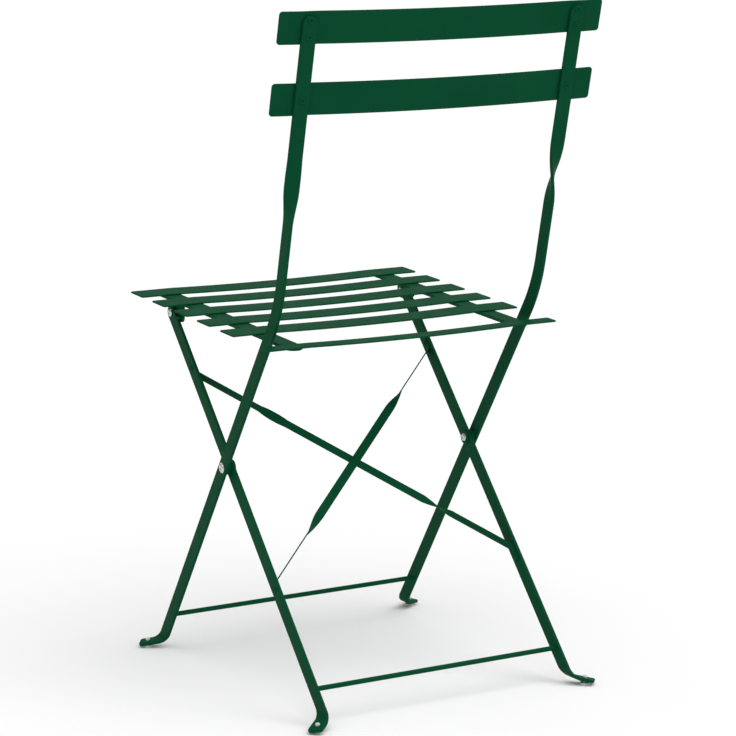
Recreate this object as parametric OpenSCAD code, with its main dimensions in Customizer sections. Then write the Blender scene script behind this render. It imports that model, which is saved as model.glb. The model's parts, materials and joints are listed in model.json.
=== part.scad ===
// Folding bistro chair of flat steel bar: crossed legs, slatted seat, two back slats.
// Millimetres, +Z up, floor at z = 0, the sitter faces -Y. The chair stands open.

/* [Overall] */
// Height of the main leg pivot above the floor
pivot_z = 265; // [240:1:290]
// Front-to-back place of the main leg pivot
pivot_y = -23.7; // [-50:0.1:10]
// Lean of the uprights below the bend, from vertical
upright_lean = 35.2; // [30:0.1:40]
// Lean of the rear legs, from vertical
leg_lean = 42; // [38:0.1:46]
// Lean of the backrest, from vertical
back_lean = 14.5; // [8:0.5:20]
// Height of the top rail's middle
top_slat_z = 800; // [760:1:840]

/* [Flat bar] */
// Width of the leg bar
bar_w = 18; // [14:0.5:22]
// Thickness of the leg bar
bar_t = 4; // [3:0.5:6]
// Chamfer that breaks the bar's long edges
bar_edge = 0.6; // [0.2:0.1:1]
// Middle plane of each upright, from the chair's middle
upright_x = 176; // [150:1:200]
// Middle plane of each rear leg, from the chair's middle
leg_x = 167; // [140:1:190]

/* [Upright] */
// Height where the two straight lengths of the upright would meet
knee_z = 474; // [450:1:500]
// Bend radius of the knee, on the bar's middle line
knee_r = 195; // [120:5:260]
// Height where the quarter twist starts
twist_z0 = 576; // [550:1:600]
// Height where the quarter twist ends
twist_z1 = 656; // [605:1:670]
// Height of the centre of the rounded top end
upright_top_z = 805; // [780:1:812]

/* [Rear leg] */
// Distance from the main pivot to the seat pivot
pivot_to_seat = 226; // [200:1:250]

/* [Feet] */
// Gap from the floor to the underside of a foot tab, at its glide
tab_z = 4.5; // [4:0.5:10]
// Bend from a leg down to its foot tab; 90 would leave the tab level
foot_turn = 78; // [70:1:88]
// Inside radius of the foot bend
foot_r = 10; // [2:0.5:12]
// Reach of a foot tab beyond its bend
tab_reach = 13; // [10:0.5:24]
// Reach from the bend to the glide's middle
glide_reach = 7.5; // [6:0.5:14]
// Diameter of a glide pad
glide_d = 13; // [10:0.5:20]
// Diameter of a glide's stem
glide_stem_d = 5; // [4:0.5:8]
// Diameter of the nub that holds a glide from above
nub_d = 6; // [6:0.5:12]
// Height of that nub
nub_h = 3; // [2:0.5:6]

/* [Seat] */
// Height of the seat's top face straight above the main pivot
seat_z = 442; // [420:1:460]
// Backward slope of the seat
seat_tilt = 3.5; // [0:0.1:8]
// Length of a seat slat, side to side
slat_len = 394; // [360:1:420]
// Width of a seat slat
slat_w = 35; // [28:0.5:42]
// Thickness of a seat slat
slat_t = 2; // [1.5:0.5:4]
// Distance from one slat to the next
slat_pitch = 61.5; // [50:0.5:70]
// Front edge of the first slat, from the main pivot
slat_front = -207.5; // [-230:0.5:-190]
// Front edge of the rear slat, from the main pivot
rear_slat_front = 140; // [136:0.5:150]
// Width of the rear slat
rear_slat_w = 20; // [16:0.5:26]
// Depth of the dish across the slats
dish = 2; // [0.5:0.1:4]
// Width of a side rail
rail_w = 22; // [16:0.5:26]
// Thickness of a side rail
rail_t = 4; // [3:0.5:6]
// Outer edge of a side rail, from the chair's middle
rail_out_x = 164.6; // [150:0.1:180]
// Thickness of a hinge bracket
bracket_t = 3; // [2:0.5:4]

/* [Back] */
// Length of a back slat, side to side
back_len = 425; // [390:1:450]
// Height of a back slat
back_w = 38; // [30:0.5:45]
// Thickness of a back slat
back_t = 2; // [1.5:0.5:4]
// Corner radius of a back slat
back_corner = 4; // [2:0.5:12]
// Rearward bow of a back slat between the uprights
bow = 6.5; // [2:0.5:12]
// Forward bend of a back slat's free ends
lip = 2; // [0:0.5:4]
// Middle of the lower back slat, height
low_slat_z = 720; // [690:1:740]

/* [Braces and rods] */
// Width of a brace strip
brace_w = 11; // [10:0.5:16]
// Thickness of a brace strip
brace_t = 1.5; // [1:0.1:2.5]
// Upper brace end, from the main pivot along the leg
brace_up = 133; // [110:1:150]
// Lower brace end, from the main pivot along the leg
brace_dn = 161; // [140:1:180]
// Length of a brace's end tab
brace_tab = 20; // [16:1:26]
// Diameter of the cross rods
rod_d = 6; // [4:0.5:8]
// Height of the front cross rod
front_rod_z = 48; // [35:1:80]
// Height of the rear cross rod
rear_rod_z = 39; // [30:1:80]

/* [Pivots] */
// Diameter of the pivot rivets
pin_d = 8; // [6:0.5:10]
// Diameter of the back rivets
rivet_d = 5; // [4:0.5:6]
// Diameter of the brace rivets
brace_rivet_d = 4; // [3:0.5:5]
// Clearance all round a turning rivet
pin_gap = 0.05; // [0.02:0.01:0.1]
// Clearance between faces that turn past each other
face_gap = 0.4; // [0.3:0.1:0.8]
// Diameter of the stop pins
stop_d = 5; // [4:0.5:6]
// Clearance between a rear leg and its stop pin
stop_gap = 0.3; // [0.1:0.1:1]
// Diameter of the spacer between the crossed bars
spacer_d = 18; // [14:0.5:22]
// Diameter of the washer under a main pivot's inner head
washer_d = 17; // [14:0.5:20]
// Thickness of that washer
washer_t = 1.5; // [1:0.1:2]

/* [Rivet heads] */
// Outer head of a main pivot, diameter and height
pivot_head = [13, 3]; // [2:0.1:16]
// Inner head of a main pivot, diameter and height
pivot_tail = [10, 2.8]; // [2:0.1:16]
// Heads of a seat pivot, diameter and height
seat_head = [10, 2.4]; // [2:0.1:16]
// Heads of a back rivet, diameter and height
back_head = [9, 1.6]; // [1:0.1:12]
// Heads of the rivet where the braces cross, diameter and height
cross_head = [8, 1.5]; // [1:0.1:12]
// Heads of a brace end rivet, diameter and height
brace_head = [7, 1.4]; // [1:0.1:12]

/* [Hidden] */
$fn = 64;
green = [0.06, 0.27, 0.17];
zinc = [0.78, 0.79, 0.78];
plastic = [0.82, 0.84, 0.82];
knee_steps = 10;
twist_steps = 16;
foot_steps = 6;
bow_steps = 12;
tip_round = 4;
drill = 10;
// main pivot and seat pivot, in the side plane
main_y = pivot_y;
seat_piv = [0, main_y - pivot_to_seat * sin(leg_lean), pivot_z + pivot_to_seat * cos(leg_lean)];
// side plane directions
low_dir = [0, sin(upright_lean), cos(upright_lean)];
up_dir = [0, sin(back_lean), cos(back_lean)];
leg_dir = [0, -sin(leg_lean), cos(leg_lean)];
leg_n = [0, cos(leg_lean), sin(leg_lean)];
back_n = [0, cos(back_lean), -sin(back_lean)];
// knee
knee = [0, main_y + (knee_z - pivot_z) * tan(upright_lean), knee_z];
knee_turn = upright_lean - back_lean;
knee_len = knee_r * tan(knee_turn / 2);
knee_a = knee - low_dir * knee_len;
knee_b = knee + up_dir * knee_len;
knee_c = knee_a + [0, -cos(upright_lean), sin(upright_lean)] * knee_r;
// points of the side plane
function up_at(z) = knee_b + up_dir * (z - knee_b[2]) / up_dir[2];
function low_y(z) = main_y + (z - pivot_z) * tan(upright_lean);
function leg_y(z) = main_y - (z - pivot_z) * tan(leg_lean);
// inner and outer faces of the pair of crossed bars
inner_x = leg_x - bar_t / 2;
outer_x = upright_x + bar_t / 2;
washer_x = inner_x - face_gap - washer_t;
foot_n = foot_r + bar_t / 2;
tab_n = [cos(foot_turn), 0, sin(foot_turn)];
bend_z = tab_z + bar_t / 2 / sin(foot_turn) + foot_n * sin(foot_turn)
  + glide_reach * cos(foot_turn);

// ---- flat bar swept through a row of sections ----
// one section: middle, width direction, thickness direction, size, edge chamfer
function ring(c, wd, td, w, t, e) = [for (q = [
  [w / 2 - e, t / 2], [e - w / 2, t / 2], [-w / 2, t / 2 - e], [-w / 2, e - t / 2],
  [e - w / 2, -t / 2], [w / 2 - e, -t / 2], [w / 2, e - t / 2], [w / 2, t / 2 - e]])
  c + wd * q[0] + td * q[1]];

module skin(rings) {
  n = len(rings[0]);
  m = len(rings);
  polyhedron(points = [for (r = rings) for (p = r) p],
    faces = concat(
      [for (i = [0 : m - 2]) for (j = [0 : n - 1])
        [i * n + j, i * n + (j + 1) % n, (i + 1) * n + j]],
      [for (i = [0 : m - 2]) for (j = [0 : n - 1])
        [i * n + (j + 1) % n, (i + 1) * n + (j + 1) % n, (i + 1) * n + j]],
      [[for (j = [n - 1 : -1 : 0]) j]],
      [[for (j = [0 : n - 1]) (m - 1) * n + j]]),
    convexity = 8);
}

// middle of a foot at an angle round its bend and a reach beyond it. slope = dy per mm down
function foot_pt(x0, slope, y_at_bend, a, reach = 0) =
  [x0 + foot_n * (1 - cos(a)) + reach * sin(a),
    y_at_bend + slope * (foot_n * a * PI / 180 + reach),
    bend_z - foot_n * sin(a) - reach * cos(a)];

// foot: rounded tab tip, tab, bend up to the straight bar
function foot_rings(x0, slope, y_at_bend) =
  let (k = sqrt(1 + slope * slope), dir = [sin(foot_turn), slope, -cos(foot_turn)] / k,
    wid = cross(tab_n, dir), tip = foot_pt(x0, slope, y_at_bend, foot_turn, tab_reach))
  concat(
    [for (a = [90, 60, 30, 0]) ring(tip + dir * tip_round * sin(a), wid, tab_n,
      bar_w - 2 * tip_round * (1 - cos(a)), bar_t, bar_edge)],
    [for (i = [foot_steps : -1 : 0]) let (a = foot_turn * i / foot_steps)
      ring(foot_pt(x0, slope, y_at_bend, a), [0, k, 0], [cos(a), 0, sin(a)],
        bar_w, bar_t, bar_edge)]);

function glide_at(x0, slope, y_at_bend) =
  let (p = foot_pt(x0, slope, y_at_bend, foot_turn, glide_reach)) [p[0], p[1], 0];

front_slope = -tan(upright_lean);
rear_slope = tan(leg_lean);
front_glide = glide_at(upright_x, front_slope, low_y(bend_z));
rear_glide = glide_at(leg_x, rear_slope, leg_y(bend_z));

module on_x(p, x0, x1, d) {
  translate([x0, p[1], p[2]]) rotate([0, 90, 0]) cylinder(h = x1 - x0, d = d);
}

// a drilled hole across the bar whose middle plane is at x
module through(x, p, d) {
  on_x(p, x - drill / 2, x + drill / 2, d);
}

// a rivet head [diameter, height]: a cap of a sphere, pointing along +z
module dome(head) {
  r = (head[0] * head[0] / 4 + head[1] * head[1]) / (2 * head[1]);
  intersection() {
    translate([0, 0, head[1] - r]) sphere(r = r);
    cylinder(h = head[1], d = head[0]);
  }
}

// upright: foot, straight length, knee, straight length, quarter twist, flat rounded top
rivet_zs = [top_slat_z + 9.5, top_slat_z - 9.5, low_slat_z];
module upright() {
  color(green) difference() {
    union() {
      skin(concat(
        foot_rings(upright_x, front_slope, low_y(bend_z)),
        [for (i = [0 : knee_steps]) let (a = knee_turn * i / knee_steps,
          w = [0, cos(upright_lean - a), -sin(upright_lean - a)])
          ring(knee_c + w * knee_r + [upright_x, 0, 0], w, [1, 0, 0], bar_w, bar_t, bar_edge)],
        [for (i = [0 : twist_steps]) let (s = i / twist_steps, a = 90 * s * s * (3 - 2 * s))
          ring(up_at(twist_z0 + (twist_z1 - twist_z0) * s) + [upright_x, 0, 0],
            back_n * cos(a) - [1, 0, 0] * sin(a), [1, 0, 0] * cos(a) + back_n * sin(a),
            bar_w, bar_t, bar_edge)],
        [ring(up_at(upright_top_z) + [upright_x, 0, 0], [-1, 0, 0], back_n,
          bar_w, bar_t, bar_edge)]));
      translate(up_at(upright_top_z) + [upright_x, 0, 0]) rotate([-90 - back_lean, 0, 0])
        translate([0, 0, -bar_t / 2]) cylinder(h = bar_t, d = bar_w);
    }
    through(upright_x, [0, main_y, pivot_z], pin_d);
    through(upright_x, [0, low_y(front_rod_z), front_rod_z], rod_d);
    for (z = rivet_zs) translate(up_at(z) + [upright_x, 0, 0])
      rotate([-90 - back_lean, 0, 0]) cylinder(h = drill, d = rivet_d, center = true);
    translate(front_glide) cylinder(h = 2 * drill, d = glide_stem_d);
  }
}

// rear leg: foot and one straight length up to the round eye of the seat pivot
module rear_leg() {
  color(green) difference() {
    union() {
      skin(concat(
        foot_rings(leg_x, rear_slope, leg_y(bend_z)),
        [ring(seat_piv + [leg_x, 0, 0], leg_n, [1, 0, 0], bar_w, bar_t, bar_edge)]));
      on_x(seat_piv, inner_x, inner_x + bar_t, bar_w);
    }
    through(leg_x, [0, main_y, pivot_z], pin_d + 2 * pin_gap);
    through(leg_x, seat_piv, pin_d + 2 * pin_gap);
    through(leg_x, [0, leg_y(rear_rod_z), rear_rod_z], rod_d);
    for (end = brace_ends) through(leg_x, brace_pt(0, end[1], 0), brace_rivet_d);
    translate(rear_glide) cylinder(h = 2 * drill, d = glide_stem_d);
  }
}

// outline of a thin strip: [place along, rise] pairs thickened by t
module strip(rises, t) {
  polygon(concat([for (q = rises) [q[0], q[1] + t / 2]],
    [for (i = [len(rises) - 1 : -1 : 0]) [rises[i][0], rises[i][1] - t / 2]]));
}

// back slat: bowed between the uprights, flat on them, its free ends bent forward a little
slat_land = 3;
back_flat = upright_x - bar_w / 2 - slat_land;
back_free = upright_x + bar_w / 2 + slat_land;
back_bow = concat([[-back_len / 2, -lip], [-back_free, 0]],
  [for (i = [-bow_steps : bow_steps]) let (s = i / bow_steps) [back_flat * s, bow * (1 - s * s)]],
  [[back_free, 0], [back_len / 2, -lip]]);
module back_slat(z) {
  color(green) translate(up_at(z) - back_n * (bar_t / 2 + back_t / 2)) rotate([-back_lean, 0, 0])
    difference() {
      intersection() {
        translate([0, 0, -back_w / 2]) linear_extrude(height = back_w) strip(back_bow, back_t);
        rotate([90, 0, 0]) linear_extrude(height = 4 * drill, center = true) {
          for (x = [-1, 1]) for (y = [-1, 1])
            translate([x * (back_len / 2 - back_corner), y * (back_w / 2 - back_corner)])
              circle(r = back_corner);
          square([back_len, back_w - 2 * back_corner], center = true);
          square([back_len - 2 * back_corner, back_w], center = true);
        }
      }
      for (q = rivet_zs) if (abs(q - z) < back_w / 2) for (x = [-1, 1])
        translate([x * upright_x, 0, (q - z) / cos(back_lean)]) rotate([90, 0, 0])
          cylinder(h = drill, d = rivet_d, center = true);
    }
}

// back rivet: shank through bar and slat, a low head on each side
module back_rivet(z) {
  color(green) translate(up_at(z) + [upright_x, 0, 0]) rotate([90 - back_lean, 0, 0]) {
    translate([0, 0, -bar_t / 2]) cylinder(h = bar_t + back_t, d = rivet_d);
    translate([0, 0, bar_t / 2 + back_t]) dome(back_head);
    translate([0, 0, -bar_t / 2]) mirror([0, 0, 1]) dome(back_head);
  }
}

// cross rod: passes through both bars, its ends ground flush
module cross_rod(p, half) {
  color(green) on_x(p, -half, half, rod_d);
}

// main pivot: rivet through both crossed bars
module main_pivot() {
  color(zinc) {
    on_x([0, main_y, pivot_z], washer_x, outer_x, pin_d);
    translate([outer_x, main_y, pivot_z]) rotate([0, 90, 0]) dome(pivot_head);
    translate([washer_x, main_y, pivot_z]) rotate([0, -90, 0]) dome(pivot_tail);
  }
}

// spacer or washer round the main pivot
module collar(x0, x1, d) {
  color(green) difference() {
    on_x([0, main_y, pivot_z], x0, x1, d);
    on_x([0, main_y, pivot_z], x0 - 1, x1 + 1, pin_d);
  }
}

// glide: a pad under the sloping foot tab, its stem, and a rounded nub that holds it from above
glide_edge = 1;
pad_h = tab_z - glide_d / 2 / tan(foot_turn);
nub_z = tab_z + bar_t / sin(foot_turn) + nub_d / 2 / tan(foot_turn);
module glide(at) {
  color(plastic) translate(at) rotate_extrude() polygon([
    [0, 0], [glide_d / 2 - glide_edge, 0], [glide_d / 2, glide_edge],
    [glide_d / 2, pad_h - glide_edge], [glide_d / 2 - glide_edge, pad_h],
    [glide_stem_d / 2, pad_h], [glide_stem_d / 2, nub_z],
    [nub_d / 2, nub_z], [nub_d / 2, nub_z + nub_h / 3],
    [nub_d / 2 * 0.7, nub_z + nub_h * 0.85], [0, nub_z + nub_h]]);
}

// brace strip: end tabs lie on the legs' inner faces, with a quarter twist near each end.
// x runs across the chair, s up the leg from the main pivot, n out of the legs' plane
function brace_pt(x, s, n) = [0, main_y, pivot_z] + [x, 0, 0] + leg_dir * s + leg_n * n;
brace_x = inner_x - brace_t / 2;
brace_r = 4;
brace_ang = atan((brace_up + brace_dn) / (2 * brace_x));
brace_turn = 90 - brace_ang;
brace_cut = brace_r * tan(brace_turn / 2);
twist_out = 100;
twist_in = 72;
bend_steps = 4;
brace_twist_steps = 8;
// section heading down and inwards by a, twisted by tw; side says which strip it is: it sets
// the hand of the twist and the strip's place behind or in front at the crossing
function brace_ring(x, s, a, tw, side) =
  let (flat = [cos(a), 0, 0] - leg_dir * sin(a), c = brace_pt(x, s, side * brace_t / 2 * sin(tw)),
    w = leg_n * cos(tw) + side * flat * sin(tw), t = flat * cos(tw) - side * leg_n * sin(tw))
  [for (q = [[1, 1], [-1, 1], [-1, -1], [1, -1]])
    c + w * q[0] * brace_w / 2 + t * q[1] * brace_t / 2];
function brace_half(side) = concat(
  [brace_ring(brace_x, brace_up + brace_tab, 0, 0, side)],
  [for (i = [0 : bend_steps]) let (a = brace_turn * i / bend_steps)
    brace_ring(brace_x - brace_r * (1 - cos(a)), brace_up + brace_cut - brace_r * sin(a),
      a, 0, side)],
  [for (i = [0 : brace_twist_steps]) let (k = i / brace_twist_steps,
    x = twist_out + (twist_in - twist_out) * k)
    brace_ring(x, brace_up - (brace_x - x) * tan(brace_ang), brace_turn, 90 * k, side)]);
// the other half is the same, turned half round about the crossing
brace_mid = brace_pt(0, (brace_up - brace_dn) / 2, 0);
function turned(p) = let (v = p - brace_mid) brace_mid + 2 * (v * leg_n) * leg_n - v;
function other_half(h) = [for (i = [len(h) - 1 : -1 : 0])
  [for (j = [1, 0, 3, 2]) turned(h[i][j])]];

module brace(side) {
  color(green) difference() {
    skin(concat(brace_half(side), other_half(brace_half(side))));
    for (end = brace_ends) through(end[0] * brace_x, brace_pt(0, end[1], 0), brace_rivet_d);
    translate(brace_mid) rotate([leg_lean - 90, 0, 0])
      cylinder(h = drill, d = brace_rivet_d, center = true);
  }
}
// [side, place along the leg] of a brace's two end rivets
brace_ends = [[1, brace_up + brace_tab / 2], [-1, -brace_dn - brace_tab / 2]];

module brace_centre_rivet() {
  color(green) translate(brace_mid) rotate([leg_lean - 90, 0, 0]) {
    cylinder(h = 2 * brace_t, d = brace_rivet_d, center = true);
    for (m = [0, 1]) mirror([0, 0, m]) translate([0, 0, brace_t]) dome(cross_head);
  }
}

module brace_rivet(s) {
  p = brace_pt(0, s, 0);
  color(green) {
    on_x(p, inner_x - brace_t, inner_x + bar_t, brace_rivet_d);
    translate([inner_x + bar_t, p[1], p[2]]) rotate([0, 90, 0]) dome(brace_head);
    translate([inner_x - brace_t, p[1], p[2]]) rotate([0, -90, 0]) dome(brace_head);
  }
}

// ---- seat: built in its own tilted frame, top face at z = 0 ----
module at_seat() {
  translate([0, main_y, seat_z]) rotate([-seat_tilt, 0, 0]) children();
}
// the seat pivot in that frame
dy = seat_piv[1] - main_y;
dz = seat_piv[2] - seat_z;
piv = [dy * cos(seat_tilt) - dz * sin(seat_tilt), dy * sin(seat_tilt) + dz * cos(seat_tilt)];
// stop pin: under the leg's rear edge, just clear of it when the chair is open
stop_back = 16;
stop_off = bar_w / 2 + stop_gap + stop_d / 2;
stop = piv + [
  stop_back * sin(leg_lean + seat_tilt) + stop_off * cos(leg_lean + seat_tilt),
  stop_off * sin(leg_lean + seat_tilt) - stop_back * cos(leg_lean + seat_tilt)];
rail_z = -slat_t - rail_t;

// seat slat: dished between the rails
slat_flat = rail_out_x - rail_w - slat_t;
slat_dish = concat([[-slat_len / 2, 0]],
  [for (i = [-bow_steps : bow_steps]) let (s = i / bow_steps) [slat_flat * s, -dish * (1 - s * s)]],
  [[slat_len / 2, 0]]);
module seat_slat(y0, w) {
  color(green) at_seat() translate([0, y0 + w, -slat_t / 2]) rotate([90, 0, 0])
    linear_extrude(height = w) strip(slat_dish, slat_t);
}

// side rail: welded under the slats, square in front and round behind
rail_front = slat_front + 4;
rail_end = rear_slat_front + 12;
module seat_rail() {
  color(green) at_seat() translate([rail_out_x - rail_w, 0, rail_z]) {
    translate([0, rail_front, 0]) cube([rail_w, rail_end - rail_w / 2 - rail_front, rail_t]);
    translate([rail_w / 2, rail_end - rail_w / 2, 0]) cylinder(h = rail_t, d = rail_w);
  }
}

// bracket: a plate under the rail with an ear for the seat pivot and one for the stop pin
pivot_ear = 10;
stop_ear = 6;
module bracket() {
  color(green) at_seat() translate([rail_out_x - bracket_t, 0, 0]) rotate([90, 0, 90])
    linear_extrude(height = bracket_t) difference() {
      union() {
        polygon([[piv[0] - pivot_ear, rail_z], [piv[0] - pivot_ear, piv[1]],
          [piv[0], piv[1] - pivot_ear], [stop[0], stop[1] - stop_ear],
          [stop[0] + stop_ear, stop[1]], [stop[0] + stop_ear, rail_z]]);
        translate(piv) circle(r = pivot_ear);
        translate(stop) circle(r = stop_ear);
      }
      translate(piv) circle(d = pin_d);
      translate(stop) circle(d = stop_d);
    }
}

// seat pivot: rivet through the bracket and the rear leg's eye
module seat_pivot() {
  color(zinc) {
    on_x(seat_piv, rail_out_x - bracket_t, inner_x + bar_t + face_gap, pin_d);
    translate([inner_x + bar_t + face_gap, seat_piv[1], seat_piv[2]]) rotate([0, 90, 0])
      dome(seat_head);
    translate([rail_out_x - bracket_t, seat_piv[1], seat_piv[2]]) rotate([0, -90, 0])
      dome(seat_head);
  }
}

module stop_pin() {
  color(green) at_seat() translate([rail_out_x - bracket_t, stop[0], stop[1]])
    rotate([0, 90, 0])
      cylinder(h = inner_x + bar_t - rail_out_x + bracket_t, d = stop_d);
}

// ---- the pieces; the right hand ones are mirrored ----
module right() { mirror([1, 0, 0]) children(); }
module left_upright() { upright(); }
module right_upright() { right() upright(); }
module top_back_slat() { back_slat(top_slat_z); }
module lower_back_slat() { back_slat(low_slat_z); }
module left_rivet_top() { back_rivet(rivet_zs[0]); }
module left_rivet_mid() { back_rivet(rivet_zs[1]); }
module left_rivet_low() { back_rivet(rivet_zs[2]); }
module right_rivet_top() { right() back_rivet(rivet_zs[0]); }
module right_rivet_mid() { right() back_rivet(rivet_zs[1]); }
module right_rivet_low() { right() back_rivet(rivet_zs[2]); }
module front_cross_rod() { cross_rod([0, low_y(front_rod_z), front_rod_z], outer_x); }
module left_main_pivot() { main_pivot(); }
module right_main_pivot() { right() main_pivot(); }
module left_spacer() { collar(inner_x + bar_t + face_gap, upright_x - bar_t / 2, spacer_d); }
module right_spacer() { right() left_spacer(); }
module left_pivot_washer() { collar(washer_x, inner_x - face_gap, washer_d); }
module right_pivot_washer() { right() left_pivot_washer(); }
module left_front_glide() { glide(front_glide); }
module right_front_glide() { right() glide(front_glide); }
module left_rear_leg() { rear_leg(); }
module right_rear_leg() { right() rear_leg(); }
module rear_cross_rod() { cross_rod([0, leg_y(rear_rod_z), rear_rod_z], inner_x + bar_t); }
module falling_brace() { brace(-1); }
module rising_brace() { right() brace(1); }
module left_brace_rivet_up() { brace_rivet(brace_ends[0][1]); }
module left_brace_rivet_dn() { brace_rivet(brace_ends[1][1]); }
module right_brace_rivet_up() { right() left_brace_rivet_up(); }
module right_brace_rivet_dn() { right() left_brace_rivet_dn(); }
module left_rear_glide() { glide(rear_glide); }
module right_rear_glide() { right() glide(rear_glide); }
module seat_slat_1() { seat_slat(slat_front, slat_w); }
module seat_slat_2() { seat_slat(slat_front + slat_pitch, slat_w); }
module seat_slat_3() { seat_slat(slat_front + 2 * slat_pitch, slat_w); }
module seat_slat_4() { seat_slat(slat_front + 3 * slat_pitch, slat_w); }
module seat_slat_5() { seat_slat(slat_front + 4 * slat_pitch, slat_w); }
module seat_slat_6() { seat_slat(rear_slat_front, rear_slat_w); }
module left_seat_rail() { seat_rail(); }
module right_seat_rail() { right() seat_rail(); }
module left_bracket() { bracket(); }
module right_bracket() { right() bracket(); }
module left_seat_pivot() { seat_pivot(); }
module right_seat_pivot() { right() seat_pivot(); }
module left_stop_pin() { stop_pin(); }
module right_stop_pin() { right() stop_pin(); }

left_upright();
right_upright();
top_back_slat();
lower_back_slat();
left_rivet_top();
left_rivet_mid();
left_rivet_low();
right_rivet_top();
right_rivet_mid();
right_rivet_low();
front_cross_rod();
left_main_pivot();
right_main_pivot();
left_spacer();
right_spacer();
left_pivot_washer();
right_pivot_washer();
left_front_glide();
right_front_glide();
left_rear_leg();
right_rear_leg();
rear_cross_rod();
falling_brace();
rising_brace();
brace_centre_rivet();
left_brace_rivet_up();
left_brace_rivet_dn();
right_brace_rivet_up();
right_brace_rivet_dn();
left_rear_glide();
right_rear_glide();
seat_slat_1();
seat_slat_2();
seat_slat_3();
seat_slat_4();
seat_slat_5();
seat_slat_6();
left_seat_rail();
right_seat_rail();
left_bracket();
right_bracket();
left_seat_pivot();
right_seat_pivot();
left_stop_pin();
right_stop_pin();
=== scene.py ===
"""Folding bistro chair of green painted flat steel bar.

Every bar, slat, rod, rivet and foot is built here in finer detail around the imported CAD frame.
Sizes are in millimetres in the chair's own frame: +Z up, the sitter faces -Y, +X is their left.
A left hand piece is built first, and its right hand twin is the same mesh mirrored.
"""
import json
import math

import bmesh
import bpy
import numpy as np
from mathutils import Matrix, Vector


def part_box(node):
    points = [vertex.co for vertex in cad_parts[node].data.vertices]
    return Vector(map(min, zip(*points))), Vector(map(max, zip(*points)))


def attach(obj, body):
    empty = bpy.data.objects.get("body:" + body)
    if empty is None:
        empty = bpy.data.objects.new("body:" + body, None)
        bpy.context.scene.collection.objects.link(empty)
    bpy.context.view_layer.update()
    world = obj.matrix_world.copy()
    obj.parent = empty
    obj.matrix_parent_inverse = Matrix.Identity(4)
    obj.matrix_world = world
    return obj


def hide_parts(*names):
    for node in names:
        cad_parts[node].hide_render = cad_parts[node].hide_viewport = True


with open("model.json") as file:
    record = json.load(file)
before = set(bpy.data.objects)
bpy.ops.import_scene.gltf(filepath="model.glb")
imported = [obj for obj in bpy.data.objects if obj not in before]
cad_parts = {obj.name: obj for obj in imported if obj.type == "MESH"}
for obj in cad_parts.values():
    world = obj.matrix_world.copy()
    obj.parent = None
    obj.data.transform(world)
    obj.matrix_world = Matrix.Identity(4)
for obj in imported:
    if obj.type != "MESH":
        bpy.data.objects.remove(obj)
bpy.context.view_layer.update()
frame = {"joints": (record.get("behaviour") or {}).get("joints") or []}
MM = 0.001

# ---- sizes that the CAD frame's boxes don't give ----
BAR_W, BAR_T, BAR_EDGE = 18.0, 4.0, 0.8
KNEE_Z, KNEE_R = 474.0, 195.0
TWIST_LOW_Z, TWIST_HIGH_Z = 576.0, 656.0
UPRIGHT_TOP_Z = 805.0
BACK_LEAN = math.radians(14.5)
TAB_Z, FOOT_TURN, FOOT_R, TAB_REACH, TIP_ROUND = 4.5, math.radians(78.0), 10.0, 13.0, 4.0
GLIDE_REACH, GLIDE_D, GLIDE_STEM_D, NUB_D, NUB_H = 7.5, 13.0, 5.0, 6.0, 3.0
BACK_LEN, BACK_W, BACK_T, BACK_CORNER, BOW, LIP = 425.0, 38.0, 2.0, 4.0, 6.5, 2.0
BACK_SLAT_Z = {"top": 800.0, "lower": 720.0}
BACK_RIVET_Z = {"top": 809.5, "mid": 790.5, "low": 720.0}
STRIP_EDGE, STRIP_LAND = 0.7, 3.0
SEAT_Z, SEAT_TILT = 442.0, math.radians(3.5)
SLAT_LEN, SLAT_T, SLAT_CORNER, DISH = 394.0, 2.0, 2.5, 2.0
SLAT_W = {1: 35.0, 2: 35.0, 3: 35.0, 4: 35.0, 5: 35.0, 6: 20.0}
RAIL_W, RAIL_T, RAIL_OUT_X, RAIL_INSET, RAIL_TAIL = 22.0, 4.0, 164.6, 4.0, 12.0
BRACKET_T, PIVOT_EAR, STOP_EAR, STOP_D = 3.0, 10.0, 6.0, 5.0
BRACE_W, BRACE_T, BRACE_EDGE, BRACE_CORNER = 11.0, 1.5, 0.45, 3.0
BRACE_UP, BRACE_DN, BRACE_TAB, BRACE_BEND_R = 133.0, 161.0, 20.0, 4.0
BRACE_TWIST_OUT, BRACE_TWIST_IN = 100.0, 72.0
ROD_D, PIN_D, RIVET_D, BRACE_RIVET_D = 6.0, 8.0, 5.0, 4.0
FACE_GAP, WASHER_T, WASHER_D, SPACER_D, HOLE_GAP = 0.4, 1.5, 17.0, 18.0, 0.05
BRACKET_EDGE, ROD_INSET = 0.6, 0.3

# rivet heads: diameter, height, and the depth of the dimple in the crown
BACK_HEAD, BACK_DIMPLE = (9.0, 1.6), 1.5
CENTRE_HEAD, BRACE_HEAD, BRACE_DIMPLE = (8.0, 1.5), (7.0, 1.4), 1.0
SEAT_HEAD, SEAT_DIMPLE = (10.0, 2.4), 1.3
PIVOT_TAIL, PIVOT_TAIL_DIMPLE = (10.0, 2.8), 1.4
PIVOT_FLANGE_R, PIVOT_CROWN_R, PIVOT_STEP, PIVOT_RISE = 6.5, 5.2, 1.1, 1.9
PIVOT_DIMPLE, PIVOT_DIMPLE_R = 1.5, 2.2

X = np.array([1.0, 0.0, 0.0])
Y = np.array([0.0, 1.0, 0.0])
Z = np.array([0.0, 0.0, 1.0])


# ---- places ----
def box_mm(node):
    low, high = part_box(node)
    return np.array(low) / MM, np.array(high) / MM


def box_mid(node):
    low, high = box_mm(node)
    return (low + high) / 2


def lean_dir(lean):
    """Up and back, leaning by that angle from vertical."""
    return np.array([0.0, math.sin(lean), math.cos(lean)])


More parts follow.
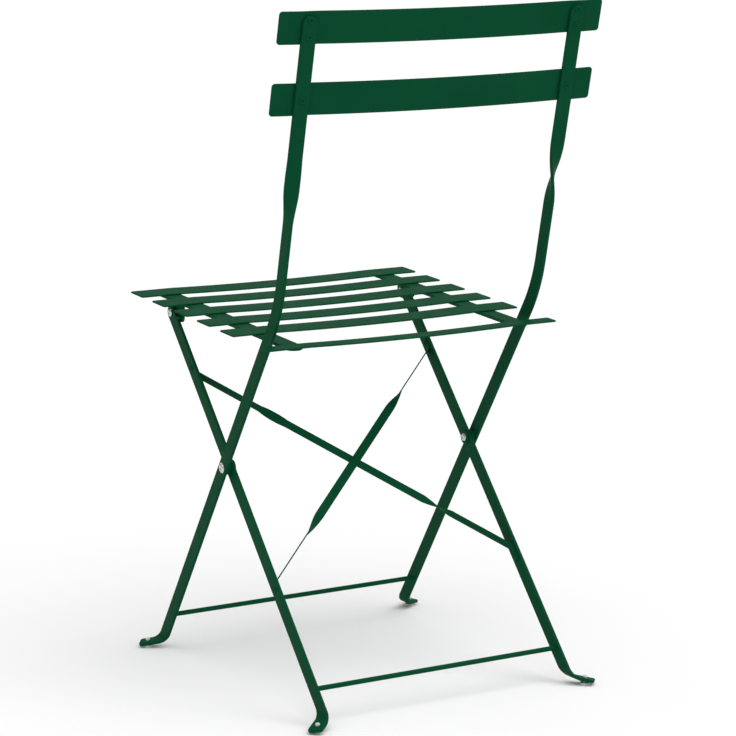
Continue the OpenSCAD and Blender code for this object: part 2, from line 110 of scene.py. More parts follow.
def rear_of(lean):
    """Square to lean_dir, towards the back of the chair."""
    return np.array([0.0, math.cos(lean), -math.sin(lean)])


JOINT_PLACE = {j["name"]: np.array(j["pos_m"]) / MM for j in frame["joints"]}
PIVOT = JOINT_PLACE["leg_fold"]
SEAT_PIVOT = JOINT_PLACE["seat_fold"]
FRONT_ROD = box_mid("front_cross_rod")
REAR_ROD = box_mid("rear_cross_rod")
UPRIGHT_LEAN = math.atan2(PIVOT[1] - FRONT_ROD[1], PIVOT[2] - FRONT_ROD[2])
LEG_LEAN = math.atan2(PIVOT[1] - SEAT_PIVOT[1], SEAT_PIVOT[2] - PIVOT[2])
UPRIGHT_X = box_mm("left_upright")[0][0] + BAR_W / 2
LEG_X = box_mm("left_rear_leg")[0][0] + BAR_T / 2
UPRIGHT_IN, UPRIGHT_OUT = UPRIGHT_X - BAR_T / 2, UPRIGHT_X + BAR_T / 2
LEG_IN, LEG_OUT = LEG_X - BAR_T / 2, LEG_X + BAR_T / 2
WASHER_IN = LEG_IN - FACE_GAP - WASHER_T

LOW_DIR = lean_dir(UPRIGHT_LEAN)
UP_DIR = lean_dir(BACK_LEAN)
BACK_N = rear_of(BACK_LEAN)
LEG_DIR = lean_dir(-LEG_LEAN)
LEG_N = rear_of(-LEG_LEAN)
KNEE = PIVOT + LOW_DIR * (KNEE_Z - PIVOT[2]) / LOW_DIR[2]
KNEE_TURN = UPRIGHT_LEAN - BACK_LEAN
KNEE_CENTRE = KNEE - LOW_DIR * KNEE_R * math.tan(KNEE_TURN / 2) - rear_of(UPRIGHT_LEAN) * KNEE_R
SEAT_ORIGIN = np.array([0.0, PIVOT[1], SEAT_Z])
SEAT_BACK = rear_of(SEAT_TILT)
SEAT_UP = lean_dir(SEAT_TILT)


def upright_at(z):
    """Middle of the upright's straight top length at that height, in the side plane."""
    return KNEE + UP_DIR * (z - KNEE[2]) / UP_DIR[2]


def seat_point(x, back, up):
    """A point given across, back and up in the seat's own tilted frame."""
    return SEAT_ORIGIN + X * x + SEAT_BACK * back + SEAT_UP * up


def in_seat(point):
    """How far back and up a point is in the seat's own tilted frame."""
    return np.array([np.dot(point - SEAT_ORIGIN, SEAT_BACK), np.dot(point - SEAT_ORIGIN, SEAT_UP)])


def turns(first, last, steps):
    """Angles in radians from first to last degree, both ends included."""
    return [math.radians(a) for a in np.linspace(first, last, steps + 1)]


# ---- mesh builders: each returns (vertices, faces) ----
def outline(width, thick, edge, corner, gap, steps=3):
    """A flat bar's section that far short of its end, as (across, through) pairs.

    The bar's plan is rounded by corner at the end, and its edge is rounded all the way round.
    """
    inside = max(corner - gap, 0.0)
    quarter = []
    for a in np.linspace(0, math.acos(1 - min(gap / edge, 1.0)), steps + 1):
        inset = edge * (1 - math.cos(a))
        reach = math.sqrt(max((corner - inset) ** 2 - inside ** 2, 0.0))
        quarter.append((width / 2 - corner + reach, thick / 2 - edge * (1 - math.sin(a))))
    back = quarter[::-1]
    return (quarter + [(-a, b) for a, b in back]
            + [(-a, -b) for a, b in quarter] + [(a, -b) for a, b in back])


def ring(station, thick, edge, corner=0.0, gap=math.inf):
    """A bar's section at a station (middle, across, through, width), that far short of its end."""
    middle, across, through, width = station
    return [middle + across * a + through * b
            for a, b in outline(width, thick, edge, max(corner, edge), gap)]


def loft(rings):
    """Skin over rings of equal length, with a face over each end."""
    count = len(rings[0])
    verts = [point for one in rings for point in one]
    faces = [tuple(range(count - 1, -1, -1))]
    for i in range(len(rings) - 1):
        for j in range(count):
            k = (j + 1) % count
            faces.append((i * count + j, i * count + k, (i + 1) * count + k, (i + 1) * count + j))
    faces.append(tuple((len(rings) - 1) * count + j for j in range(count)))
    return verts, faces


def end_rings(end, near, thick, edge, corner):
    """Rings from a bar's last plain stretch out to its end, which has rounded corners."""
    middle, *section = end
    out = middle - near[0]
    out = out / np.linalg.norm(out)
    gaps = {0.01 * edge}
    for reach in (max(corner, edge), edge):
        gaps.update(reach * (1 - math.sin(a)) for a in turns(0, 80, 8))
    return [ring((middle - out * gap, *section), thick, edge, corner, gap)
            for gap in sorted(gaps, reverse=True)]


def flat_bar(stations, thick, edge, first_corner=0.0, last_corner=0.0):
    """Flat bar through stations, the first and last of them at its very ends."""
    first = end_rings(stations[0], stations[1], thick, edge, first_corner)
    last = end_rings(stations[-1], stations[-2], thick, edge, last_corner)
    between = [ring(station, thick, edge) for station in stations[1:-1]]
    return loft(first[::-1] + between + last)


def lathe(profile, origin, axis, steps=40, closed=False):
    """Turns (along, radius) pairs about an axis; radius 0 closes an end, closed makes a ring."""
    side = np.cross(axis, Y if abs(axis[0]) > 0.9 else X)
    side = side / np.linalg.norm(side)
    other = np.cross(axis, side)
    verts, faces, rows = [], [], []
    for along, radius in profile:
        count = steps if radius > 0 else 1
        rows.append([len(verts) + i for i in range(count)])
        for i in range(count):
            a = 2 * math.pi * i / steps
            spoke = side * math.cos(a) + other * math.sin(a)
            verts.append(origin + axis * along + spoke * radius)
    if closed:
        rows.append(rows[0])
    for low, high in zip(rows, rows[1:]):
        for i in range(steps):
            j = (i + 1) % steps
            quad = (low[i % len(low)], low[j % len(low)], high[j % len(high)], high[i % len(high)])
            face = tuple(dict.fromkeys(quad))
            if len(face) > 2:
                faces.append(face)
    return verts, faces


def joined(*parts):
    verts, faces = [], []
    for part_verts, part_faces in parts:
        base = len(verts)
        verts += list(part_verts)
        faces += [tuple(i + base for i in face) for face in part_faces]
    return verts, faces


def mirrored(mesh):
    verts, faces = mesh
    return [np.array([-v[0], v[1], v[2]]) for v in verts], faces


def dimpled(rise, radius, depth, hole_r):
    """A crown's rise at that radius, less a steep sided dimple in its middle."""
    return rise - depth * math.exp(-(radius / hole_r) ** 4)


def head(diameter, height, base, sign, dimple, steps=16):
    """Profile of a rivet head, from its rim on the surface at base out to its crown."""
    rim = height * 0.3
    crown = height - rim
    bulge = (diameter ** 2 / 4 + crown ** 2) / (2 * crown)
    points = [(base, diameter / 2 - 0.15), (base + sign * rim * 0.5, diameter / 2)]
    for radius in np.linspace(diameter / 2, 0, steps + 1):
        rise = rim + math.sqrt(bulge ** 2 - radius ** 2) - (bulge - crown)
        rise = dimpled(rise, radius, dimple, diameter * 0.18)
        points.append((base + sign * rise, radius * 0.98))
    return points


def rivet(origin, axis, start, end, shank_d, head_size, dimple):
    """A rivet along an axis, with a (diameter, height) head beyond each end of its shank."""
    tail = head(*head_size, start, -1, dimple)
    front = head(*head_size, end, 1, dimple)
    shank = [(start, shank_d / 2), (end, shank_d / 2)]
    return lathe(tail[::-1] + shank + front, origin, axis)


def tube(origin, axis, start, end, inner_d, outer_d, bevel=0.3):
    """A washer or spacer with bevelled rims."""
    inner, outer = inner_d / 2, outer_d / 2
    profile = [(start, inner), (start, outer - bevel), (start + bevel, outer),
               (end - bevel, outer), (end, outer - bevel), (end, inner)]
    return lathe(profile, origin, axis, closed=True)


def bead(start, end, radius, rows=14):
    """A short weld bead with the ripples of the torch."""
    along = end - start
    length = np.linalg.norm(along)
    profile = [(0.0, 0.0)]
    for i in range(1, rows):
        s = i / rows
        ripple = 1 + 0.1 * math.sin(9 * math.pi * s)
        profile.append((length * s, radius * ripple * (4 * s * (1 - s)) ** 0.35))
    profile.append((length, 0.0))
    return lathe(profile, start, along / length, steps=10)


def plate(points, low_x, high_x, edge):
    """A plate square to X from a convex outline of (back, up) pairs in the seat's frame."""
    points = np.array(points)
    ahead = np.roll(points, -1, axis=0) - points
    behind = points - np.roll(points, 1, axis=0)
    tangent = (ahead / np.linalg.norm(ahead, axis=1)[:, None]
               + behind / np.linalg.norm(behind, axis=1)[:, None])
    tangent = tangent / np.linalg.norm(tangent, axis=1)[:, None]
    inward = np.stack([-tangent[:, 1], tangent[:, 0]], axis=1)
    rings = []
    for face_x, sign in ((low_x, 1), (high_x, -1)):
        layer = [(face_x + sign * edge * (1 - math.cos(a)), edge * (1 - math.sin(a)))
                 for a in turns(0, 90, 3)]
        for x, inset in layer if sign > 0 else layer[::-1]:
            rings.append([seat_point(x, *(p + n * inset)) for p, n in zip(points, inward)])
    return loft(rings)


# ---- materials ----
def new_material(name):
    material = bpy.data.materials.new(name)
    material.use_nodes = True
    return material, material.node_tree, material.node_tree.nodes["Principled BSDF"]


def noise(tree, scale, detail=2.0, stretch=(1.0, 1.0, 1.0)):
    """Noise fixed to the piece, with that many features in a metre."""
    place = tree.nodes.new("ShaderNodeTexCoord")
    squeeze = tree.nodes.new("ShaderNodeMapping")
    squeeze.inputs["Scale"].default_value = stretch
    texture = tree.nodes.new("ShaderNodeTexNoise")
    texture.inputs["Scale"].default_value = scale
    texture.inputs["Detail"].default_value = detail
    tree.links.new(place.outputs["Object"], squeeze.inputs["Vector"])
    tree.links.new(squeeze.outputs["Vector"], texture.inputs["Vector"])
    return texture.outputs["Fac"]


def spread(tree, value, low, high):
    """Stretches the middle of a noise to run from low to high."""
    node = tree.nodes.new("ShaderNodeMapRange")
    node.inputs["From Min"].default_value = 0.3
    node.inputs["From Max"].default_value = 0.7
    node.inputs["To Min"].default_value = low
    node.inputs["To Max"].default_value = high
    tree.links.new(value, node.inputs["Value"])
    return node.outputs["Result"]


def blended(tree, factor, first, second):
    """Mix of two colours, each a colour or a socket."""
    node = tree.nodes.new("ShaderNodeMix")
    node.data_type = "RGBA"
    tree.links.new(factor, node.inputs["Factor"])
    for name, colour in (("A", first), ("B", second)):
        socket = next(s for s in node.inputs if s.name == name and s.type == "RGBA")
        if isinstance(colour, tuple):
            socket.default_value = (*colour, 1.0)
        else:
            tree.links.new(colour, socket)
    return next(s for s in node.outputs if s.type == "RGBA")


def bumps(tree, shader, layers):
    """Bump on a shader from (height, depth in metres, strength) layers, coarse to fine."""
    last = None
    for height, depth, strength in layers:
        node = tree.nodes.new("ShaderNodeBump")
        node.inputs["Strength"].default_value = strength
        node.inputs["Distance"].default_value = depth
        tree.links.new(height, node.inputs["Height"])
        if last:
            tree.links.new(last, node.inputs["Normal"])
        last = node.outputs["Normal"]
    tree.links.new(last, shader.inputs["Normal"])


def green_paint():
    """Green powder coat: slow drifts of shade, fine grain and orange peel.

    Its specular level is far below the 0.5 or so of real paint, which keeps the side faces from
    greying in the white room. It is to be raised where the paint is reused.
    """
    material, tree, shader = new_material("green_powder_coat")
    shade = blended(tree, spread(tree, noise(tree, 11, 4), 0, 1),
                    (0.0012, 0.055, 0.0205), (0.0022, 0.065, 0.0255))
    fleck = spread(tree, noise(tree, 900, 2), 0, 0.35)
    tree.links.new(blended(tree, fleck, shade, (0.004, 0.080, 0.034)),
                   shader.inputs["Base Color"])
    tree.links.new(spread(tree, noise(tree, 60, 3), 0.40, 0.52), shader.inputs["Roughness"])
    shader.inputs["Specular IOR Level"].default_value = 0.02
    bumps(tree, shader, [(noise(tree, 90, 2), 0.0004, 0.10), (noise(tree, 620, 2), 0.0002, 0.16)])
    return material


def zinc():
    """Bright plated rivets: turning lines and a faint cloudiness."""
    material, tree, shader = new_material("zinc_plate")
    cloud = spread(tree, noise(tree, 220, 3), 0, 1)
    tree.links.new(blended(tree, cloud, (0.50, 0.51, 0.51), (0.68, 0.68, 0.67)),
                   shader.inputs["Base Color"])
    shader.inputs["Metallic"].default_value = 1.0
    tree.links.new(spread(tree, noise(tree, 500, 3), 0.22, 0.36), shader.inputs["Roughness"])
    scratches = noise(tree, 400, 2, (1.0, 6.0, 6.0))
    bumps(tree, shader, [(scratches, 0.0001, 0.12)])
    return material


def glide_plastic():
    """Milky polyethylene glides, a little cloudy inside."""
    material, tree, shader = new_material("milky_plastic")
    cloud = spread(tree, noise(tree, 160, 3), 0, 1)
    tree.links.new(blended(tree, cloud, (0.66, 0.69, 0.67), (0.80, 0.82, 0.80)),
                   shader.inputs["Base Color"])
    tree.links.new(spread(tree, noise(tree, 300, 2), 0.32, 0.46), shader.inputs["Roughness"])
    shader.inputs["Transmission Weight"].default_value = 0.25
    shader.inputs["IOR"].default_value = 1.51
    bumps(tree, shader, [(noise(tree, 500, 2), 0.0001, 0.1)])
    return material


MATERIALS = {"green_paint": green_paint(), "zinc": zinc(), "glide_plastic": glide_plastic()}


# ---- making pieces ----
def add_piece(name, mesh, slot, body, *nodes):
    """A smooth shaded piece that rides on a body and stands for those CAD nodes."""
    verts, faces = mesh
    data = bpy.data.meshes.new(name)
    data.from_pydata([tuple(float(c) * MM for c in v) for v in verts], [], faces)
    work = bmesh.new()
    work.from_mesh(data)
    bmesh.ops.remove_doubles(work, verts=work.verts, dist=0.001 * MM)
    bmesh.ops.recalc_face_normals(work, faces=work.faces)
    work.to_mesh(data)
    work.free()
    data.polygons.foreach_set("use_smooth", [True] * len(data.polygons))
    data.set_sharp_from_angle(angle=math.radians(50))
    data.materials.append(MATERIALS[slot])
    obj = bpy.data.objects.new(name, data)
    bpy.context.scene.collection.objects.link(obj)
    obj.modifiers.new("even shading", "WEIGHTED_NORMAL").keep_sharp = True
    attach(obj, body)
    if nodes:
        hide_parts(*nodes)


def add_pair(name, mesh, slot, body, node=None):
    """A left hand piece and its mirrored right hand twin, for CAD nodes left_node and right_node."""
    for side, one in (("left", mesh), ("right", mirrored(mesh))):
        nodes = [f"{side}_{node}"] if node else []
        add_piece(f"{side}_{name}", one, slot, body, *nodes)


# ---- feet ----
BEND_R = FOOT_R + BAR_T / 2
BEND_Z = (TAB_Z + BAR_T / 2 / math.sin(FOOT_TURN) + BEND_R * math.sin(FOOT_TURN)
          + GLIDE_REACH * math.cos(FOOT_TURN))
TAB_N = X * math.cos(FOOT_TURN) + Z * math.sin(FOOT_TURN)


def foot_point(x, lean, turn, reach=0.0):
    """Middle of a foot at an angle round its bend and a reach beyond it."""
    slope = -math.tan(lean)
    start = np.array([x, PIVOT[1] + (BEND_Z - PIVOT[2]) * math.tan(lean), BEND_Z])
    return (start + X * (BEND_R * (1 - math.cos(turn)) + reach * math.sin(turn))
            + Y * slope * (BEND_R * turn + reach)
            - Z * (BEND_R * math.sin(turn) + reach * math.cos(turn)))


def foot_stations(x, lean):
    """Sloping foot tab and its bend, from the tip up; the tab keeps the bar's skew."""
    tip = foot_point(x, lean, FOOT_TURN, TAB_REACH)
    along = tip - foot_point(x, lean, FOOT_TURN)
    along = along / np.linalg.norm(along)
    across = np.cross(TAB_N, along)
    stations = [(tip + along * TIP_ROUND, across, TAB_N, BAR_W)]
    for a in np.linspace(FOOT_TURN, 0, 19):
        stations.append((foot_point(x, lean, a), Y / math.cos(lean),
                         X * math.cos(a) + Z * math.sin(a), BAR_W))
    return stations


def glide(x, lean):
    """Glide: pad under the tab, stem through it and a rounded nub on top."""
    at = foot_point(x, lean, FOOT_TURN, GLIDE_REACH)
    at[2] = 0.0
    pad, stem, nub = GLIDE_D / 2, GLIDE_STEM_D / 2, NUB_D / 2
    pad_top = TAB_Z - pad / math.tan(FOOT_TURN)
    nub_low = TAB_Z + BAR_T / math.sin(FOOT_TURN) + nub / math.tan(FOOT_TURN)
    profile = [(0.0, 0.0), (0.0, pad - 1.6)]
    profile += [(1.0 - math.cos(a), pad - 1.6 + 1.6 * math.sin(a)) for a in turns(20, 90, 5)]
    profile += [(pad_top - 0.7, pad), (pad_top - 0.2, pad - 0.3), (pad_top, pad - 0.9)]
    profile += [(pad_top, stem), (nub_low, stem), (nub_low, nub - 0.3), (nub_low + 0.3, nub)]
    profile += [(nub_low + 0.3 + (NUB_H - 0.3) * math.sin(a), nub * math.cos(a))
                for a in turns(10, 84, 9)]
    profile.append((nub_low + NUB_H, 0.0))
    return lathe(profile, at, Z, steps=48)


# ---- back frame: uprights, back slats, front rod, main pivots ----
def upright():
    middle = X * UPRIGHT_X
    stations = foot_stations(UPRIGHT_X, UPRIGHT_LEAN)
    for a in np.linspace(0, KNEE_TURN, 25):
        across = rear_of(UPRIGHT_LEAN - a)
        stations.append((KNEE_CENTRE + across * KNEE_R + middle, across, X, BAR_W))
    for s in np.linspace(0, 1, 33):
        a = math.pi / 2 * s * s * (3 - 2 * s)
        place = upright_at(TWIST_LOW_Z + (TWIST_HIGH_Z - TWIST_LOW_Z) * s) + middle
        stations.append((place, BACK_N * math.cos(a) - X * math.sin(a),
                         X * math.cos(a) + BACK_N * math.sin(a), BAR_W))
    top = upright_at(UPRIGHT_TOP_Z) + UP_DIR * BAR_W / 2 + middle
    stations.append((top, -X, BACK_N, BAR_W))
    return flat_bar(stations, BAR_T, BAR_EDGE, TIP_ROUND, BAR_W / 2)


def bow_at(x):
    """Rise of a back slat's middle line: bowed back between the uprights, free ends forward."""
    flat = UPRIGHT_X - BAR_W / 2 - STRIP_LAND
    free = UPRIGHT_X + BAR_W / 2 + STRIP_LAND
    rises = []
    for near in (-2.0, -1.0, 0.0, 1.0, 2.0):
        place = abs(x + near)
        if place < flat:
            rises.append(BOW * (1 - (place / flat) ** 2))
        else:
            rises.append(-LIP * max(place - free, 0) / (BACK_LEN / 2 - free))
    return sum(rises) / len(rises)


def strip(length, rise, across, up, origin, width, thick, corner):
    """A strip laid across the chair whose middle line rises by rise(x), with round corners."""
    inner = np.linspace(-length / 2 + 2 * corner, length / 2 - 2 * corner, 81)
    stations = []
    for x in (-length / 2, *inner, length / 2):
        slope = rise(x + 0.5) - rise(x - 0.5)
        through = up - X * slope
        through = through / np.linalg.norm(through)
        stations.append((origin + X * x + up * rise(x), across, through, width))
    return flat_bar(stations, thick, STRIP_EDGE, corner, corner)


add_pair("upright_bar", upright(), "green_paint", "back_frame", "upright")
for level, z in BACK_SLAT_Z.items():
    centre = upright_at(z) - BACK_N * (BAR_T + BACK_T) / 2
    slat = strip(BACK_LEN, bow_at, UP_DIR, BACK_N, centre, BACK_W, BACK_T, BACK_CORNER)
    add_piece(f"{level}_back_strip", slat, "green_paint", "back_frame", f"{level}_back_slat")
for level, z in BACK_RIVET_Z.items():
    pin = rivet(upright_at(z) + X * UPRIGHT_X, BACK_N, -BAR_T / 2 - BACK_T, BAR_T / 2,
                RIVET_D, BACK_HEAD, BACK_DIMPLE)
    add_pair(f"back_rivet_{level}", pin, "green_paint", "back_frame", f"rivet_{level}")


def cross_rod(centre, weld_x):
    """Rod let into both bars, with a small weld fillet where it meets each inner face."""
    radius, reach, rise = ROD_D / 2, 2.2, 1.6
    end = weld_x + BAR_T - ROD_INSET
    parts = [lathe([(-end, 0.0), (-end, radius), (end, radius), (end, 0.0)], centre, X)]
    for sign in (-1, 1):
        profile = [(sign * (weld_x - reach * (1 - math.sin(a))), radius + rise * (1 - math.cos(a)))
                   for a in turns(0, 90, 6)]
        profile += [(sign * (weld_x + 0.5), radius + rise), (sign * (weld_x + 0.5), radius - 0.5),
                    (sign * (weld_x - reach), radius - 0.5)]
        parts.append(lathe(profile, centre, X, closed=True))
    return joined(*parts)


def main_pivot():
    """Plated rivet: flanged cap outside, peened tail on a washer inside."""
    tail = head(*PIVOT_TAIL, WASHER_IN, -1, PIVOT_TAIL_DIMPLE)
    cap = [(UPRIGHT_OUT, PIVOT_FLANGE_R - 0.3), (UPRIGHT_OUT + 0.2, PIVOT_FLANGE_R),
           (UPRIGHT_OUT + 0.7, PIVOT_FLANGE_R), (UPRIGHT_OUT + 0.9, PIVOT_FLANGE_R - 0.3),
           (UPRIGHT_OUT + 0.9, PIVOT_CROWN_R + 0.1)]
    for radius in np.linspace(PIVOT_CROWN_R, 0, 17):
        dome = PIVOT_STEP + PIVOT_RISE * math.sqrt(1 - (radius / PIVOT_CROWN_R) ** 2)
        cap.append((UPRIGHT_OUT + dimpled(dome, radius, PIVOT_DIMPLE, PIVOT_DIMPLE_R), radius))
    shank = [(WASHER_IN, PIN_D / 2), (UPRIGHT_OUT, PIN_D / 2)]
    return lathe(tail[::-1] + shank + cap, PIVOT, X, steps=48)


def collar(start, end, diameter):
    return tube(PIVOT, X, start, end, PIN_D + 2 * HOLE_GAP, diameter)


add_piece("front_rod_bar", cross_rod(FRONT_ROD, UPRIGHT_IN), "green_paint",
          "back_frame", "front_cross_rod")
add_pair("pivot_rivet", main_pivot(), "zinc", "back_frame", "main_pivot")
add_pair("pivot_spacer", collar(LEG_OUT + FACE_GAP, UPRIGHT_IN, SPACER_D), "green_paint",
         "back_frame", "spacer")
add_pair("pivot_ring", collar(WASHER_IN, LEG_IN - FACE_GAP, WASHER_D), "green_paint",
         "back_frame", "pivot_washer")
add_pair("front_foot_glide", glide(UPRIGHT_X, UPRIGHT_LEAN), "glide_plastic", "back_frame",
         "front_glide")


# ---- leg frame: rear legs, rear rod, crossed braces ----
def rear_leg():
    stations = foot_stations(LEG_X, -LEG_LEAN)
    top = SEAT_PIVOT + LEG_DIR * BAR_W / 2 + X * LEG_X
    stations.append((top, LEG_N, X, BAR_W))
    return flat_bar(stations, BAR_T, BAR_EDGE, TIP_ROUND, BAR_W / 2)


BRACE_X = LEG_IN - BRACE_T / 2
BRACE_SLOPE = math.atan((BRACE_UP + BRACE_DN) / (2 * BRACE_X))
BRACE_TURN = math.pi / 2 - BRACE_SLOPE


def brace_point(x, along, out):
    return PIVOT + X * x + LEG_DIR * along + LEG_N * out


BRACE_MID = brace_point(0, (BRACE_UP - BRACE_DN) / 2, 0)


def brace_station(x, along, heading, twist, side):
    """Section of a brace strip heading down and inwards; side sets its hand of twist."""
    flat = X * math.cos(heading) - LEG_DIR * math.sin(heading)
    middle = brace_point(x, along, side * BRACE_T / 2 * math.sin(twist))
    return (middle, LEG_N * math.cos(twist) + side * flat * math.sin(twist),
            flat * math.cos(twist) - side * LEG_N * math.sin(twist), BRACE_W)


def half_turned(vector):
    """A direction turned half round about the normal of the legs' plane."""
    return 2 * np.dot(vector, LEG_N) * LEG_N - vector


def brace(side):
    """Strip with an end tab on each leg, a quarter twist near each end and a flat middle."""
    half = [brace_station(BRACE_X, BRACE_UP + BRACE_TAB, 0, 0, side)]
    cut = BRACE_BEND_R * math.tan(BRACE_TURN / 2)
    for a in np.linspace(0, BRACE_TURN, 9):
        half.append(brace_station(BRACE_X - BRACE_BEND_R * (1 - math.cos(a)),
                                  BRACE_UP + cut - BRACE_BEND_R * math.sin(a), a, 0, side))
    for k in np.linspace(0, 1, 25):
        x = BRACE_TWIST_OUT + (BRACE_TWIST_IN - BRACE_TWIST_OUT) * k
        along = BRACE_UP - (BRACE_X - x) * math.tan(BRACE_SLOPE)
        half.append(brace_station(x, along, BRACE_TURN, math.pi / 2 * k, side))
    other = [(BRACE_MID + half_turned(middle - BRACE_MID), -half_turned(across),
              half_turned(through), width) for middle, across, through, width in half[::-1]]
    return flat_bar(half + other, BRACE_T, BRACE_EDGE, BRACE_CORNER, BRACE_CORNER)


add_pair("rear_leg_bar", rear_leg(), "green_paint", "leg_frame", "rear_leg")
add_piece("rear_rod_bar", cross_rod(REAR_ROD, LEG_IN), "green_paint", "leg_frame",
          "rear_cross_rod")
add_piece("falling_brace_strip", brace(-1), "green_paint", "leg_frame", "falling_brace")
add_piece("rising_brace_strip", mirrored(brace(1)), "green_paint", "leg_frame", "rising_brace")
add_piece("brace_middle_rivet", rivet(BRACE_MID, LEG_N, -BRACE_T, BRACE_T, BRACE_RIVET_D,
                                      CENTRE_HEAD, BRACE_DIMPLE),
          "green_paint", "leg_frame", "brace_centre_rivet")
for end, along in (("up", BRACE_UP + BRACE_TAB / 2), ("dn", -BRACE_DN - BRACE_TAB / 2)):
    pin = rivet(brace_point(0, along, 0), X, LEG_IN - BRACE_T, LEG_OUT, BRACE_RIVET_D,
                BRACE_HEAD, BRACE_DIMPLE)
    add_pair(f"brace_end_rivet_{end}", pin, "green_paint", "leg_frame", f"brace_rivet_{end}")
add_pair("rear_foot_glide", glide(LEG_X, -LEG_LEAN), "glide_plastic", "leg_frame", "rear_glide")


# ---- seat: slats, rails, brackets, seat pivots, stop pins ----
def dish_at(x):
    """Rise of a seat slat's middle line: a shallow dish between the rails."""
    flat = RAIL_OUT_X - RAIL_W - SLAT_T
    return -DISH * max(1 - (x / flat) ** 2, 0.0)


def slat_back(number):
    """How far back the middle of a seat slat is, in the seat's frame."""
    return in_seat(box_mid(f"seat_slat_{number}"))[0]


SLAT_BACK = {number: slat_back(number) for number in SLAT_W}
RAIL_MID_X = RAIL_OUT_X - RAIL_W / 2
RAIL_TOP = -SLAT_T
RAIL_LOW = RAIL_TOP - RAIL_T
RAIL_FRONT = SLAT_BACK[1] - SLAT_W[1] / 2 + RAIL_INSET
RAIL_END = SLAT_BACK[6] - SLAT_W[6] / 2 + RAIL_TAIL
PIN_PLACE = in_seat(SEAT_PIVOT)
STOP_PLACE = in_seat(box_mid("left_stop_pin"))

for number, width in SLAT_W.items():
    centre = seat_point(0, SLAT_BACK[number], -SLAT_T / 2)
    slat = strip(SLAT_LEN, dish_at, SEAT_BACK, SEAT_UP, centre, width, SLAT_T, SLAT_CORNER)
    add_piece(f"seat_strip_{number}", slat, "green_paint", "seat", f"seat_slat_{number}")


def rail():
    up = (RAIL_TOP + RAIL_LOW) / 2
    front = seat_point(RAIL_MID_X, RAIL_FRONT, up)
    rear = seat_point(RAIL_MID_X, RAIL_END, up)
    stations = [(front, X, SEAT_UP, RAIL_W), (rear, X, SEAT_UP, RAIL_W)]
    return flat_bar(stations, RAIL_T, BAR_EDGE, last_corner=RAIL_W / 2)


def rail_welds():
    """Weld beads along both edges of a rail, under every slat."""
    beads = []
    for number, width in SLAT_W.items():
        reach = min(width * 0.3, RAIL_END - RAIL_W / 2 - SLAT_BACK[number])
        for x in (RAIL_OUT_X - RAIL_W, RAIL_OUT_X):
            start = seat_point(x, SLAT_BACK[number] - width * 0.3, RAIL_TOP - 0.3)
            beads.append(bead(start, seat_point(x, SLAT_BACK[number] + reach, RAIL_TOP - 0.3), 1.3))
    return joined(*beads)


def bracket():
    """Plate below the rail with an ear round the seat pivot and one round the stop pin."""
    gap = STOP_PLACE - PIN_PLACE
    lowest = math.degrees(math.atan2(gap[1], gap[0])
                          - math.acos((PIVOT_EAR - STOP_EAR) / np.linalg.norm(gap)))
    points = [(PIN_PLACE[0] - PIVOT_EAR, RAIL_LOW)]
    for centre, radius, first, last in ((PIN_PLACE, PIVOT_EAR, 180, 360 + lowest),
                                        (STOP_PLACE, STOP_EAR, lowest, 0)):
        points += [(centre[0] + radius * math.cos(a), centre[1] + radius * math.sin(a))
                   for a in turns(first, last, 10)]
    points.append((STOP_PLACE[0] + STOP_EAR, RAIL_LOW))
    body = plate(points, RAIL_OUT_X - BRACKET_T, RAIL_OUT_X, BRACKET_EDGE)
    start = seat_point(RAIL_OUT_X - BRACKET_T, points[0][0] + 2, RAIL_LOW)
    weld = bead(start, seat_point(RAIL_OUT_X - BRACKET_T, points[-1][0] - 2, RAIL_LOW), 1.4, 24)
    return joined(body, weld)


def stop_pin():
    centre = seat_point(0, *STOP_PLACE)
    ends = (RAIL_OUT_X - BRACKET_T, LEG_OUT)
    radius, chamfer = STOP_D / 2, 0.5
    profile = [(ends[0], 0.0), (ends[0], radius - chamfer), (ends[0] + chamfer, radius),
               (ends[1] - chamfer, radius), (ends[1], radius - chamfer), (ends[1], 0.0)]
    return lathe(profile, centre, X)


add_pair("seat_rail_bar", rail(), "green_paint", "seat", "seat_rail")
add_pair("seat_rail_welds", rail_welds(), "green_paint", "seat")
add_pair("bracket_plate", bracket(), "green_paint", "seat", "bracket")
add_pair("seat_pivot_rivet", rivet(SEAT_PIVOT, X, RAIL_OUT_X - BRACKET_T, LEG_OUT + FACE_GAP,
                                   PIN_D, SEAT_HEAD, SEAT_DIMPLE),
         "zinc", "seat", "seat_pivot")
add_pair("stop_pin_rod", stop_pin(), "green_paint", "seat", "stop_pin")


# ---- stage, light and camera ----
def add_floor():
    """Plain pale floor with a hint of tone."""
    half = 80.0
    data = bpy.data.meshes.new("floor")
    data.from_pydata([(-half, -half, 0), (half, -half, 0), (half, half, 0), (-half, half, 0)],
                     [], [(0, 1, 2, 3)])
    floor = bpy.data.objects.new("floor", data)
    bpy.context.scene.collection.objects.link(floor)
    material, tree, shader = new_material("pale_floor")
    tree.links.new(blended(tree, spread(tree, noise(tree, 2, 2), 0, 1),
                           (0.95, 0.95, 0.95), (0.96, 0.96, 0.96)), shader.inputs["Base Color"])
    shader.inputs["Roughness"].default_value = 0.9
    shader.inputs["Specular IOR Level"].default_value = 0.1
    data.materials.append(material)


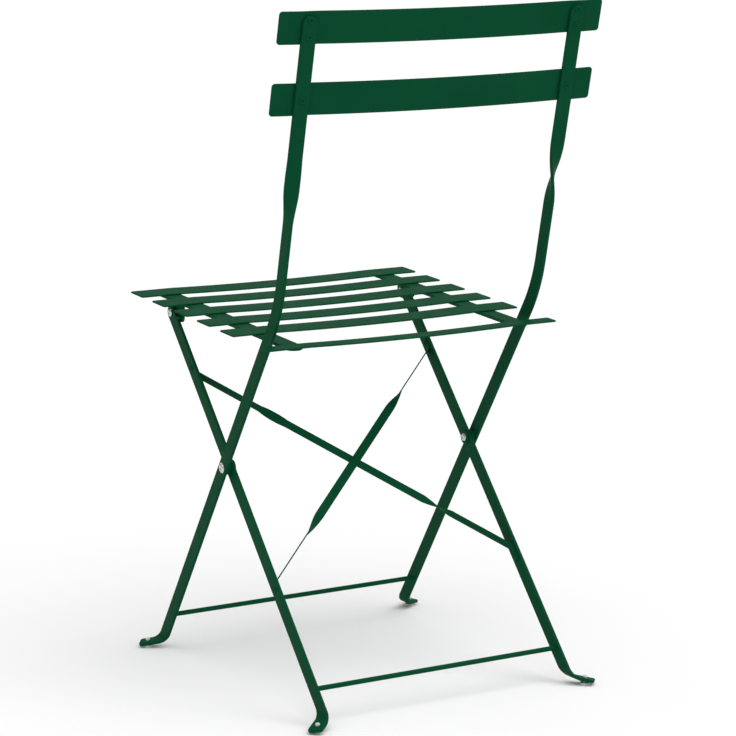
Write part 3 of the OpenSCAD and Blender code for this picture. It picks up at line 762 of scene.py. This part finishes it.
def add_sun(name, towards, spread_angle, strength):
    """A soft light that is even all over the floor; towards is where it shines from."""
    data = bpy.data.lights.new(name, "SUN")
    data.angle = spread_angle
    data.energy = strength
    light = bpy.data.objects.new(name, data)
    bpy.context.scene.collection.objects.link(light)
    back = np.array(towards) / np.linalg.norm(towards)
    side = np.cross(X, back)
    side = side / np.linalg.norm(side)
    light.matrix_world = Matrix([side, np.cross(back, side), back]).transposed().to_4x4()


def add_camera(azimuth, elevation, roll, distance, target, lens):
    """Camera round the target: azimuth 0 looks along +Y, roll turns the picture."""
    back = np.array([math.sin(azimuth) * math.cos(elevation),
                     -math.cos(azimuth) * math.cos(elevation), math.sin(elevation)])
    right = np.cross(-back, Z)
    right = right / np.linalg.norm(right)
    up = np.cross(right, -back)
    rolled_right = right * math.cos(roll) + up * math.sin(roll)
    rolled_up = up * math.cos(roll) - right * math.sin(roll)
    data = bpy.data.cameras.new("camera")
    data.lens = lens
    data.sensor_width = 36.0
    camera = bpy.data.objects.new("camera", data)
    bpy.context.scene.collection.objects.link(camera)
    turn = Matrix([rolled_right, rolled_up, back]).transposed().to_4x4()
    camera.matrix_world = Matrix.Translation(np.array(target) + back * distance) @ turn
    bpy.context.scene.camera = camera


def set_world(seen, lighting):
    """White backdrop seen at one strength, lighting the scene at another."""
    world = bpy.data.worlds.new("studio")
    world.use_nodes = True
    nodes, links = world.node_tree.nodes, world.node_tree.links
    path = nodes.new("ShaderNodeLightPath")
    strength = nodes.new("ShaderNodeMapRange")
    strength.inputs["To Min"].default_value = lighting
    strength.inputs["To Max"].default_value = seen
    links.new(path.outputs["Is Camera Ray"], strength.inputs["Value"])
    links.new(strength.outputs["Result"], nodes["Background"].inputs["Strength"])
    nodes["Background"].inputs["Color"].default_value = (1.0, 1.0, 1.0, 1.0)
    bpy.context.scene.world = world
    bpy.context.scene.view_settings.view_transform = "Standard"


add_floor()
set_world(seen=1.0, lighting=0.5)
add_sun("overhead", towards=(-0.12, 0.45, 1.0), spread_angle=math.radians(75), strength=2.0)
add_camera(azimuth=math.radians(150.39), elevation=math.radians(10.13), roll=math.radians(-0.63),
           distance=3.4986, target=(-0.0252, PIVOT[1] * MM, 0.3668), lens=139.25)
